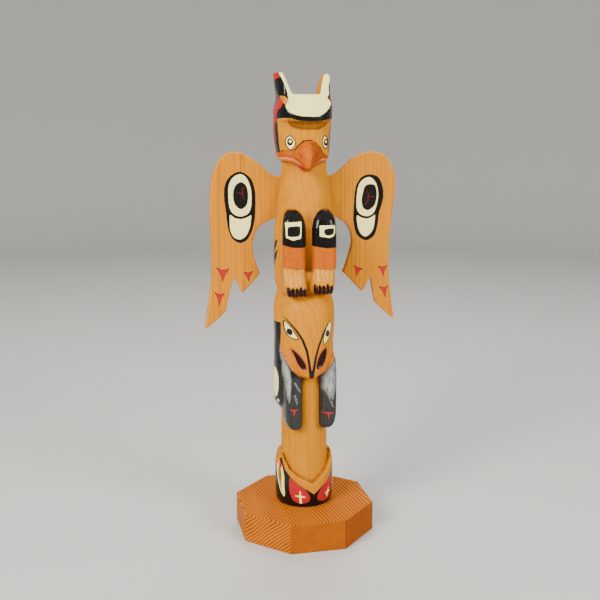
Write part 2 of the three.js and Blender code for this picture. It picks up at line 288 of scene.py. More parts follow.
@dataclass
class Skin:
    """A piece's surface as arrays in millimetres, with its paint lines and relief."""

    piece: bpy.types.Object
    place: Array = field(init=False)
    facing: Array = field(init=False)
    coats: dict[Coat, Array] = field(default_factory=dict)
    glazes: dict[Glaze, Array] = field(default_factory=dict)
    relief: Array = field(init=False)

    def __post_init__(self) -> None:
        """Reads the vertices and their normals."""
        mesh = self.piece.data
        count = len(mesh.vertices)
        place = np.empty(count * 3)
        mesh.vertices.foreach_get("co", place)
        facing = np.empty(count * 3)
        mesh.vertex_normals.foreach_get("vector", facing)
        self.place = place.reshape(-1, 3) / MM
        self.place[:, 2] -= BASE_TOP / MM
        self.facing = facing.reshape(-1, 3)
        self.relief = np.zeros(count)

    @property
    def x(self) -> Array:
        """How far to the viewer's right each vertex lies."""
        return self.place[:, 0]

    @property
    def y(self) -> Array:
        """How far back each vertex lies."""
        return self.place[:, 1]

    @property
    def z(self) -> Array:
        """How high above the block each vertex lies."""
        return self.place[:, 2]

    @property
    def girth(self) -> Array:
        """Each vertex's distance from the pole's axis."""
        return np.hypot(self.x, self.y)

    @property
    def bearing(self) -> Array:
        """Each vertex's direction from the axis in degrees, 0 in front and positive to the right."""
        return np.degrees(np.arctan2(self.x, -self.y))

    def turned(self, degrees: float) -> tuple[Array, Array]:
        """Across and back as a beast sees them whose face is turned by some degrees."""
        c, s = math.cos(math.radians(degrees)), math.sin(math.radians(degrees))
        return self.x * c + self.y * s, self.y * c - self.x * s

    def shape(self, outline: Points) -> Array:
        """Signed distance from an outline drawn on the front."""
        return filled(self.x, self.z, outline)

    def stroke(self, path: Points, widths: Sequence[float]) -> Array:
        """Signed distance from a stroke brushed on the front."""
        return brushed(self.x, self.z, path, widths)

    def spot(self, centre: tuple[float, float], across: float, up: float, lean: float = 0) -> Array:
        """Signed distance from an oval on the front."""
        return oval(self.x, self.z, centre, across, up, lean)

    def paint(self, coat: Coat, distance: Array, *limits: Array) -> Array:
        """Adds a painted area to a coat.

        Args:
            coat: the coat it belongs to.
            distance: signed distance from its outline.
            limits: more distances, all of which must be below zero as well.

        Returns:
            The area's own distance.
        """
        area = distance
        for limit in limits:
            area = np.maximum(area, limit)
        area = np.clip(area, -REACH, REACH)
        self.coats[coat] = np.minimum(self.coats.get(coat, np.full(area.shape, REACH)), area)
        return area

    def leave_bare(self, coats: Sequence[Coat], area: Array) -> None:
        """Takes an area out of some coats.

        Args:
            coats: the coats that lose it.
            area: signed distance from its outline.
        """
        for coat in coats:
            if coat in self.coats:
                self.coats[coat] = np.maximum(self.coats[coat], -area)

    def hollows(self, rounds: int = 24) -> Array:
        """How far each place lies below its surroundings, in millimetres.

        Args:
            rounds: how often the surroundings are averaged, which sets how wide they are.

        Returns:
            One depth for each vertex, above zero in hollows.
        """
        mesh = self.piece.data
        ends = np.empty(len(mesh.edges) * 2, np.int64)
        mesh.edges.foreach_get("vertices", ends)
        first, second = ends[0::2], ends[1::2]
        count = len(self.place)
        degree = np.bincount(ends, minlength=count)[:, None]
        around = self.place.copy()
        for _ in range(rounds):
            total = np.stack([
                np.bincount(first, around[second, axis], count)
                + np.bincount(second, around[first, axis], count)
                for axis in range(3)
            ], axis=1)
            around = 0.5 * around + 0.5 * total / degree
        return ((around - self.place) * self.facing).sum(axis=1)

    def tint(self, glaze: Glaze, share: Array) -> None:
        """Adds to a soft layer of colour, where it is stronger than what is there: stains, and painted
        shade, sheen and highlights.
        """
        self.glazes[glaze] = np.maximum(self.glazes.get(glaze, np.zeros(share.shape)), share)

    def carve(self, depth: Array) -> None:
        """Cuts the surface in by a depth."""
        self.relief -= depth

    def finish(self) -> None:
        """Writes the relief and the paint lines to the mesh."""
        mesh = self.piece.data
        moved = self.place + self.facing * self.relief[:, None]
        moved[:, 2] += BASE_TOP / MM
        mesh.vertices.foreach_set("co", (moved * MM).ravel())
        layers = {coat.value: values for coat, values in self.coats.items()}
        layers.update({glaze.value: values for glaze, values in self.glazes.items()})
        for name, values in layers.items():
            attribute = mesh.attributes.new(name, "FLOAT", "POINT")
            attribute.data.foreach_set("value", values.astype(np.float32))
        mesh.update()


# Nodes


class Wire:
    """A node's output, on which arithmetic adds Math nodes."""

    def __init__(self, bench: "Bench", socket: bpy.types.NodeSocket) -> None:
        """Keeps the output and the bench that its nodes are laid on."""
        self.bench = bench
        self.socket = socket

    def _with(self, operation: str, *values: Any) -> "Wire":
        """Adds a Math node on these values."""
        return self.bench.node("ShaderNodeMath", {"operation": operation}, dict(enumerate(values)))

    def __add__(self, other: Any) -> "Wire":
        """Adds."""
        return self._with("ADD", self, other)

    __radd__ = __add__

    def __sub__(self, other: Any) -> "Wire":
        """Takes away."""
        return self._with("SUBTRACT", self, other)

    def __rsub__(self, other: Any) -> "Wire":
        """Is taken away."""
        return self._with("SUBTRACT", other, self)

    def __mul__(self, other: Any) -> "Wire":
        """Multiplies."""
        return self._with("MULTIPLY", self, other)

    __rmul__ = __mul__

    def __truediv__(self, other: Any) -> "Wire":
        """Divides."""
        return self._with("DIVIDE", self, other)

    def __pow__(self, other: Any) -> "Wire":
        """Raises to a power."""
        return self._with("POWER", self, other)

    def __abs__(self) -> "Wire":
        """Its size without its sign."""
        return self._with("ABSOLUTE", self)

    def fraction(self) -> "Wire":
        """What is left over past the whole number."""
        return self._with("FRACT", self)

    def root(self) -> "Wire":
        """Its square root."""
        return self._with("SQRT", self)


class Bench:
    """A material's node tree, with one method that adds any node."""

    def __init__(self, name: str) -> None:
        """Starts a material with one Principled shader.

        Args:
            name: the name it is given.
        """
        self.material = bpy.data.materials.new(name)
        self.material.use_nodes = True
        self.tree = self.material.node_tree
        self.shader = self.tree.nodes["Principled BSDF"]

    def node(self, kind: str, settings: dict[str, Any], inputs: dict[Any, Any], output: Any = 0) -> Wire:
        """Adds a node.

        Args:
            kind: the node's type.
            settings: its properties, which are set before its inputs.
            inputs: values or wires by socket name or number.
            output: the socket that the wire starts from.

        Returns:
            A wire from that output.
        """
        node = self.tree.nodes.new(kind)
        for name, value in settings.items():
            setattr(node, name, value)
        for key, value in inputs.items():
            self.feed(node.inputs[key], value)
        return Wire(self, node.outputs[output])

    def feed(self, socket: bpy.types.NodeSocket, value: Any) -> None:
        """Links a wire to a socket, or sets the socket's own value.

        Args:
            socket: the input.
            value: a wire, a number, a colour or a vector.
        """
        if isinstance(value, Wire):
            self.tree.links.new(value.socket, socket)
        elif isinstance(value, tuple) and socket.type == "RGBA":
            socket.default_value = (*value, 1)
        else:
            socket.default_value = value

    def blend(self, share: Any, under: Any, over: Any, mode: str = "MIX") -> Wire:
        """Mixes two colours by a share."""
        settings = {"data_type": "RGBA", "blend_type": mode, "clamp_factor": True}
        return self.node("ShaderNodeMix", settings, {0: share, 6: under, 7: over}, 2)

    def noise(self, places: Wire, scale: float, detail: float = 3, rough: float = 0.5) -> Wire:
        """Cloud noise about 0.5, with features about one over the scale long."""
        inputs = {"Vector": places, "Scale": scale, "Detail": detail, "Roughness": rough}
        return self.node("ShaderNodeTexNoise", {}, inputs)

    def scaled(self, places: Wire, shares: tuple[float, float, float]) -> Wire:
        """Stretches places along each axis."""
        return self.node("ShaderNodeVectorMath", {"operation": "MULTIPLY"}, {0: places, 1: shares})

    def millimetres(self) -> Wire:
        """Object coordinates in millimetres."""
        places = self.node("ShaderNodeTexCoord", {}, {}, "Object")
        return self.scaled(places, (1 / MM, 1 / MM, 1 / MM))

    def step(self, value: Wire, start: float, end: float) -> Wire:
        """0 before the start and 1 past the end, smooth between."""
        settings = {"interpolation_type": "SMOOTHSTEP", "clamp": True}
        return self.node("ShaderNodeMapRange", settings, {0: value, 1: start, 2: end, 3: 0.0, 4: 1.0})


# Wood and paint


@dataclass(frozen=True)
class Timber:
    """Sawn wood under clear finish: its growth rings lie round a pith that runs along one axis."""

    light: tuple[float, float, float]
    dark: tuple[float, float, float]
    fibre: tuple[float, float, float]
    along: int
    pith: tuple[float, float]
    ring: float
    contrast: float
    sharpness: float
    wander: float
    rough: float
    gloss: float
    ring_depth: float = 0.25
    lean: float = 0.0
    end_grain_and_shade: tuple[tuple[float, float, float, float], ...] = ()

    def lay(self, bench: Bench) -> tuple[Wire, Wire, Wire]:
        """Adds the wood's nodes.

        Args:
            bench: the material's bench.

        Returns:
            The wires for its colour, its height and its roughness.
        """
        places = bench.millimetres()
        grain = self._drawn_out(bench, places, 0.035)
        parts = [bench.node("ShaderNodeSeparateXYZ", {}, {0: grain}, axis) for axis in range(3)]
        across = [part for axis, part in enumerate(parts) if axis != self.along]
        drift = (bench.noise(grain, 0.07, 2) - 0.5) * self.wander
        length = bench.node("ShaderNodeSeparateXYZ", {}, {0: places}, self.along)
        first = across[0] + length * self.lean - self.pith[0]
        second = across[1] - self.pith[1]
        distance = (first * first + second * second).root() + drift
        wave = (distance / self.ring).fraction()
        late = wave ** self.sharpness
        width = bench.noise(grain, 0.13, 2)
        late = late * (0.45 + width) * self.contrast
        strands = bench.noise(grain, 1.5, 6, 0.62)
        fine = bench.noise(grain, 5.0, 4, 0.7)
        cloud = bench.noise(self._drawn_out(bench, places, 0.35), 0.09, 3)
        colour = bench.blend(late, self.light, self.dark)
        colour = bench.blend(bench.step(strands, 0.46, 0.78) * 0.42, colour, self.fibre)
        colour = bench.blend(bench.step(fine, 0.5, 0.8) * 0.25, colour, self.dark)
        colour = bench.blend(bench.step(cloud, 0.42, 0.72) * 0.4, colour, self.fibre)
        flecks = bench.noise(self._drawn_out(bench, places, 0.5), 0.55, 1)
        colour = bench.blend(bench.step(flecks, 0.735, 0.8) * 0.4, colour, self.dark)
        # Faces listed here are darkened: for end grain, and as painted shade on the faces turned from the
        # key light.
        for across_share, back_share, face, share in self.end_grain_and_shade:
            depth = bench.node("ShaderNodeVectorMath", {"operation": "DOT_PRODUCT"},
                               {0: places, 1: (across_share, back_share, 0.0)}, "Value")
            colour = bench.blend(bench.step(depth, face - 0.3, face) * share, colour, END_GRAIN_AND_SHADE, "MULTIPLY")
        height = strands * 0.5 + fine * 0.25 - late * self.ring_depth
        rough = self.rough + (strands - 0.5) * 0.14
        return colour, height, rough

    def _drawn_out(self, bench: Bench, places: Wire, share: float) -> Wire:
        """Places that pass slower along the grain, so that what is laid on them is drawn out."""
        return bench.scaled(places, tuple(share if axis == self.along else 1.0 for axis in range(3)))


@dataclass(frozen=True)
class Finish:
    """Wood with the coats of paint that its piece carries."""

    name: str
    timber: Timber
    coats: tuple[Coat, ...] = ()
    glazes: tuple[Glaze, ...] = ()
    edge: float = 0.1
    tremble: float = 0.35
    paint_lift: float = 1.2
    bump: float = 0.00016

    def build(self) -> bpy.types.Material:
        """Makes the material.

        Returns:
            The finished material.
        """
        bench = Bench(self.name)
        colour, height, rough = self.timber.lay(bench)
        gloss: Any = self.timber.gloss
        places = bench.millimetres()
        hand = (bench.noise(places, 0.9, 2) - 0.5) * self.tremble
        brush = bench.noise(places, 0.45, 4, 0.6)
        speckle = bench.noise(places, 3.0, 3, 0.6)
        strokes = bench.noise(bench.scaled(places, (1.5, 1.5, 0.16)), 1.0, 3, 0.55)
        uneven = 0.75 + (brush - 0.5) * 1.1
        # Painted shade and a red blush on the wood under the paint.
        for glaze in (Glaze.SHADE, Glaze.BLUSH):
            if glaze in self.glazes:
                colour = bench.blend(self._layer(bench, glaze) * uneven, colour, GLAZES[glaze])
        for coat in self.coats:
            enamel = ENAMELS[coat]
            distance = self._layer(bench, coat)
            if coat is Coat.INK:
                mask = bench.step(abs(distance) + hand * 0.3, INK_HALF_WIDTH + self.edge, INK_HALF_WIDTH)
            else:
                mask = bench.step(distance + hand, self.edge, -self.edge)
            deep = tuple(channel * 0.72 for channel in enamel.colour)
            shade = bench.blend(bench.step(brush, 0.4, 0.7) * enamel.patch * 2.5, enamel.colour, deep)
            # On black paint, wear and a painted grey sheen follow the brush strokes.
            if coat is Coat.BLACK and Glaze.WEAR_AND_SHEEN in self.glazes:
                wear_and_sheen = self._layer(bench, Glaze.WEAR_AND_SHEEN) * bench.step(strokes, 0.22, 0.56)
                shade = bench.blend(wear_and_sheen, shade, GLAZES[Glaze.WEAR_AND_SHEEN])
            colour = bench.blend(mask, colour, shade)
            rough = rough * (1 - mask) + mask * (enamel.rough + (brush - 0.5) * 0.2)
            gloss = mask * enamel.gloss + (1 - mask) * gloss
            height = height * (1 - mask * 0.75) + mask * self.paint_lift * 0.3
        # Pale streaks, and painted highlights on edges, lie over everything.
        if Glaze.STREAK_AND_HIGHLIGHT in self.glazes:
            streak_and_highlight = self._layer(bench, Glaze.STREAK_AND_HIGHLIGHT) * bench.step(strokes, 0.36, 0.6)
            colour = bench.blend(streak_and_highlight, colour, GLAZES[Glaze.STREAK_AND_HIGHLIGHT])
        # Painted shade darkens everything under it.
        if Glaze.DEPTH in self.glazes:
            colour = bench.blend(self._layer(bench, Glaze.DEPTH), colour, GLAZES[Glaze.DEPTH], "MULTIPLY")
        height = height + speckle * 0.12
        bench.feed(bench.shader.inputs["Base Color"], colour)
        bench.feed(bench.shader.inputs["Roughness"], rough)
        bench.feed(bench.shader.inputs["Coat Weight"], gloss)
        bench.feed(bench.shader.inputs["Coat Roughness"], COAT_ROUGHNESS)
        bench.feed(bench.shader.inputs["Specular IOR Level"], SPECULAR_LEVEL)
        relief = {"Strength": BUMP_STRENGTH, "Distance": self.bump, "Height": height}
        bench.feed(bench.shader.inputs["Normal"], bench.node("ShaderNodeBump", {}, relief))
        return bench.material

    @staticmethod
    def _layer(bench: Bench, layer: Coat | Glaze) -> Wire:
        """Reads one of the piece's attributes."""
        return bench.node("ShaderNodeAttribute", {"attribute_name": layer.value}, {}, "Fac")


# The wood's colour is multiplied by this on the block's front and right-front faces: partly for their end
# grain, partly as painted shade on the faces turned from the key light.
END_GRAIN_AND_SHADE = (0.6, 0.46, 0.34)

POLE_TIMBER = Timber(
    light=(0.575, 0.224, 0.0005), dark=(0.34, 0.09, 0.0005), fibre=(0.5, 0.17, 0.0005), along=2,
    pith=(60.0, 34.0), ring=2.7, contrast=0.36, sharpness=3.0, wander=9.0, rough=0.52, gloss=0.03,
)
WING_TIMBER = Timber(
    light=(0.585, 0.22, 0.0005), dark=(0.28, 0.066, 0.0005), fibre=(0.46, 0.14, 0.0005), along=2,
    pith=(170.0, 80.0), ring=2.8, contrast=0.5, sharpness=3.4, wander=14.0, rough=0.54, gloss=0.02,
)
# The block's softwood; its front and right-front faces are darkened, partly for end grain and partly as
# painted shade.
BLOCK_TIMBER = Timber(
    light=(0.66, 0.19, 0.006), dark=(0.13, 0.022, 0.001), fibre=(0.44, 0.11, 0.003), along=1,
    pith=(110.0, -95.0), ring=1.5, contrast=1.25, sharpness=1.7, wander=2.6, rough=0.6, gloss=0.0,
    ring_depth=0.6, lean=0.15, end_grain_and_shade=((0.0, -1.0, 44.2, 0.55), (0.7071, -0.7071, 44.2, 0.75)),
)

POLE_FINISH = Finish("painted pole wood", POLE_TIMBER,
                     tuple(coat for coat in Coat if coat is not Coat.FADED), tuple(Glaze))
WING_FINISH = Finish("painted wing board", WING_TIMBER,
                     (Coat.RED, Coat.BLACK, Coat.CREAM, Coat.DARK, Coat.FADED, Coat.INK), (Glaze.STREAK_AND_HIGHLIGHT,))
BLOCK_FINISH = Finish("block end grain and face", BLOCK_TIMBER, bump=0.0002)


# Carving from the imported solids


@dataclass
class Carving:
    """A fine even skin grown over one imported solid."""

    node: str
    name: str
    slot: str
    grain: float
    softening: int = 3

    def grow(self) -> bpy.types.Object:
        """Copies the solid and gives it small even faces.

        Returns:
            The new piece.
        """
        bpy.ops.object.select_all(action="DESELECT")
        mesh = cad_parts[self.node].data.copy()
        mesh.materials.clear()
        piece = bpy.data.objects.new(self.name, mesh)
        mesh.name = self.name
        bpy.context.scene.collection.objects.link(piece)
        piece.select_set(True)
        bpy.context.view_layer.objects.active = piece
        bpy.ops.object.mode_set(mode="EDIT")
        bpy.ops.mesh.select_all(action="SELECT")
        bpy.ops.mesh.remove_doubles(threshold=0.002 * MM)
        bpy.ops.object.mode_set(mode="OBJECT")
        even = piece.modifiers.new("even skin", "REMESH")
        even.mode = "VOXEL"
        even.voxel_size = self.grain * MM
        bpy.ops.object.modifier_apply(modifier=even.name)
        sanded = piece.modifiers.new("sanding", "SMOOTH")
        sanded.factor = 0.5
        sanded.iterations = self.softening
        bpy.ops.object.modifier_apply(modifier=sanded.name)
        bpy.ops.object.shade_smooth()
        log.info("%s: %d faces", self.name, len(piece.data.polygons))
        return piece

    def place(self, piece: bpy.types.Object, finish: Finish) -> None:
        """Gives the piece its material, hangs it under the root body and hides the solid it was grown from.

        Args:
            piece: the grown piece.
            finish: the wood and paint that it carries.
        """
        piece.data.materials.append(finish.build())
        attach(piece, "root")
        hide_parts(self.node)


# Thunderbird


@dataclass
class Head:
    """The bird's painted head: cream forehead and horn fronts, black brow and cap, beak and eyes."""

    turn: float = -4.0
    cream: Points = (
        (-22, 292), (-18.7, 289), (-17.2, 286.3), (-15.3, 282.5), (-14, 279.4), (-12.6, 274.6),
        (-12.6, 269.8), (-15.5, 266.4), (-15.2, 264.6), (-13.8, 262.6), (-10.6, 260.9), (-6.5, 260),
        (0.7, 259.6), (6.2, 260), (10.8, 262.8), (14.8, 266.2), (18.5, 269.5), (22, 280), (22, 292),
    )
    brow_line: Points = (
        (-20, 258.6), (-16.4, 258.9), (-12.9, 258.7), (-8.8, 257.4), (-2.5, 256.6), (5.1, 256.9),
        (12.1, 258.4), (18, 258.6),
    )
    slope: Points = ((255, -22.4), (260.4, -22.9), (273.8, -9), (288, -6))
    face_edges: tuple[float, float] = (62.0, 54.0)
    cheek_bottom: float = 237.5
    back_edge: float = 132.0
    lowest: float = 225.0

    def dress(self, skin: Skin) -> None:
        """Paints and details the head.

        Args:
            skin: the skin that is dressed.
        """
        high = self.lowest - skin.z
        self._cap(skin)
        self._horns(skin)
        self._eyes(skin, high)
        self._beak(skin, high)
        self._cove(skin)

    def _front(self, skin: Skin) -> Array:
        """Distance behind the sloping front plane of forehead and horns."""
        _, back = skin.turned(self.turn)
        return back - np.interp(skin.z, *zip(*self.slope))

    def _cap(self, skin: Skin) -> None:
        """The black brow band and side patches and the red crescents.

        Args:
            skin: the skin that is dressed.
        """
        brow = level(skin.x, self.brow_line) - skin.z
        off = np.abs(skin.bearing - self.turn)
        edge = np.where(skin.x < 0, *self.face_edges)
        side = np.maximum((edge - off) * HEAD_ARC, self.cheek_bottom - skin.z)
        skin.paint(Coat.BLACK, np.minimum(brow, side), (off - self.back_edge) * HEAD_ARC)
        crescent = rounded([
            (60, 272.6), (50, 266.4), (64, 263.2), (74, 258), (83, 250), (88, 244), (94, 236.8),
            (108, 237), (120, 245), (122, 255), (112, 264), (88, 270),
        ])
        around = np.abs(skin.bearing) * HEAD_ARC
        skin.paint(Coat.MARK, filled(around, skin.z, unrolled(crescent, HEAD_ARC)))

    def _horns(self, skin: Skin) -> None:
        """Cream fronts, black outer sides, a red tip and bare inner sides.

        Args:
            skin: the skin that is dressed.
        """
        front = self._front(skin) - 0.9
        cream = skin.paint(Coat.CREAM, front, skin.shape(self.cream))
        skin.paint(Coat.CREAM, 286.7 - skin.z, -4 - skin.x)
        inner = np.sign(skin.x) * skin.facing[:, 0] + 0.3
        spot = skin.spot((15.8, 262.6), 1.1, 0.8)
        skin.paint(Coat.MARK, spot, skin.y + 4)
        bare = np.maximum(inner * 2, 273.2 - skin.z)
        skin.leave_bare((Coat.BLACK,), bare)
        skin.leave_bare((Coat.BLACK,), np.maximum(np.abs(skin.x) - 9, 271 - skin.z))
        tip = np.maximum(283.4 - 0.15 * skin.y - skin.z, skin.x + 10)
        skin.paint(Coat.MARK, tip, 0.15 - cream, -inner)
        corner = skin.shape([(-17, 273), (-14.5, 272.4), (-12.6, 270.4), (-12.6, 269.7),
                             (-15.4, 266.6), (-16.4, 268.6)])
        skin.leave_bare((Coat.BLACK, Coat.MARK, Coat.CREAM), np.maximum(corner, skin.y + 2))

    def _eyes(self, skin: Skin, high: Array) -> None:
        """White eyes ringed in black, each with a grey ring round a light middle.

        Args:
            skin: the skin that is dressed.
            high: above zero where a place is lower than the head.
        """
        near = np.maximum(high, skin.y + 5)
        for outline, pupil in (
            ([(-12.6, 247.9), (-10.6, 246.4), (-9.3, 243.4), (-10.4, 240.8), (-12.1, 239.3), (-14.3, 241.2),
              (-15.2, 244), (-14.7, 246.6)], (-12.5, 244.2)),
            ([(9.8, 247.9), (11.6, 247), (12.8, 244), (12, 241.6), (10.4, 239.9), (8.6, 242.2),
              (8.1, 244.4), (8.5, 246.4)], (10.9, 244)),
        ):
            eye = skin.shape(rounded(outline))
            skin.paint(Coat.CREAM, eye, near)
            skin.paint(Coat.INK, eye, near)
            ring = skin.spot(pupil, 1.8, 2.3)
            hole = skin.spot((pupil[0] + 0.05, pupil[1] + 0.3), 0.8, 1.0)
            skin.paint(Coat.DARK, np.maximum(ring, -hole), near)
            skin.carve(0.18 * soft(np.abs(np.maximum(eye, near)), 0.5))

    def _beak(self, skin: Skin, high: Array) -> None:
        """An orange beak that runs on as an upper lip, with a pale lower lip under it.

        Args:
            skin: the skin that is dressed.
            high: above zero where a place is lower than the head.
        """
        near = np.maximum(high, skin.y + 1.5)
        above = [(-19.2, 236.6), (-18.3, 237.8), (-15.9, 239), (-13.1, 238.8), (-10.4, 239), (-8, 242),
                 (-4, 245.2), (1.2, 245.4), (4.9, 242.8), (6.9, 240.6), (8, 237.9), (11.1, 235.4),
                 (15, 234.8)]
        mouth = [(15, 233.6), (10.5, 233.9), (7.7, 233.8), (4.6, 232), (1.6, 229.4), (-0.9, 226.6),
                 (-2.9, 224.6), (-4.6, 226.6), (-6.4, 229.8), (-8.2, 232.2), (-10.6, 233.9), (-14.9, 235.1),
                 (-19.7, 234.7)]
        below = [(-20.5, 234), (-19.5, 232.2), (-15.3, 231.7), (-10.4, 231), (-7.4, 229.2), (-4.3, 226.2)]
        right_below = [(15, 231.8), (11.3, 231.2), (8, 230.8), (3.8, 229), (0.4, 226.8)]
        orange = skin.paint(Coat.ORANGE, skin.shape(above + mouth), near)
        lip = skin.shape(mouth[6:] + below)
        right_lip = skin.shape(mouth[:6][::-1] + right_below)
        skin.paint(Coat.PINK, np.minimum(lip, right_lip), near)
        edge = skin.stroke(above, [0.3] * len(above))
        skin.paint(Coat.CLAW, edge, near)
        gap = skin.stroke(mouth, [0.3] * len(mouth))
        skin.paint(Coat.RED, gap, near)
        low = skin.stroke(below, [0.25] * len(below))
        low = np.minimum(low, skin.stroke(right_below, [0.25] * len(right_below)))
        skin.paint(Coat.RED, low, near)
        skin.carve(0.55 * soft(np.maximum(gap, near), 0.6))
        skin.carve(0.5 * soft(np.maximum(low, near), 0.6))
        skin.carve(0.3 * soft(np.maximum(edge, near), 0.5))
        for path in ([(-8.6, 237), (-7.4, 235.6), (-6.9, 233.6)], [(3.7, 237.6), (2.4, 235.4)]):
            nostril = skin.stroke(path, [0.5, 0.4, 0.2])
            skin.paint(Coat.RED, nostril, near, skin.y + 12)
            skin.carve(0.5 * soft(np.maximum(nostril, near), 0.5))
        middle = np.interp(skin.z, (225, 244.5), (-3.4, -2.7))
        half = np.interp(skin.z, (225, 232, 244.5), (0.3, 1.4, 2.5))
        facet = np.abs(skin.x - middle) - half
        inside = soft(orange, 0.4)
        skin.carve(0.4 * soft(facet, 0.5) * inside)
        # Painted shade on the beak: its right facet darker, its left facet a little, and its tip and the
        # lower right lip darker still.
        shaded = np.maximum(orange, middle + half - skin.x)
        skin.tint(Glaze.DEPTH, 0.42 * soft(shaded, 0.3))
        lit = np.maximum(orange, skin.x - middle + half)
        skin.tint(Glaze.DEPTH, 0.14 * soft(lit, 0.3))
        skin.tint(Glaze.DEPTH, 0.6 * soft(np.maximum(orange, skin.z - 228.4), 0.8))
        skin.tint(Glaze.DEPTH, 0.5 * soft(np.maximum(right_lip, skin.z - 232.4), 0.6))

    def _cove(self, skin: Skin) -> None:
        """Painted shade in the hollow under the brow, darkest along its lower edge.

        Args:
            skin: the skin that is dressed.
        """
        line = [(-15.4, 258.8), (-14.2, 256), (-12.4, 253.6), (-9, 252.3), (-5, 251.6), (1.6, 251.4),
                (6, 251.9), (9.4, 253.7), (12.4, 256.4), (14.4, 258.8)]
        cove = np.maximum(skin.shape(line), skin.y + 8)
        # Painted shade: a brown band under the brow and a darker line along its lower edge.
        skin.tint(Glaze.SHADE, 0.74 * soft(cove, 0.35))
        skin.tint(Glaze.DEPTH, 0.4 * soft(np.abs(cove + 0.8) - 0.5, 0.6) * (skin.z < 256.4))
        skin.tint(Glaze.SHADE, 0.98 * soft(np.abs(cove + 0.9) - 0.6, 0.7) * (skin.z < 256.4))


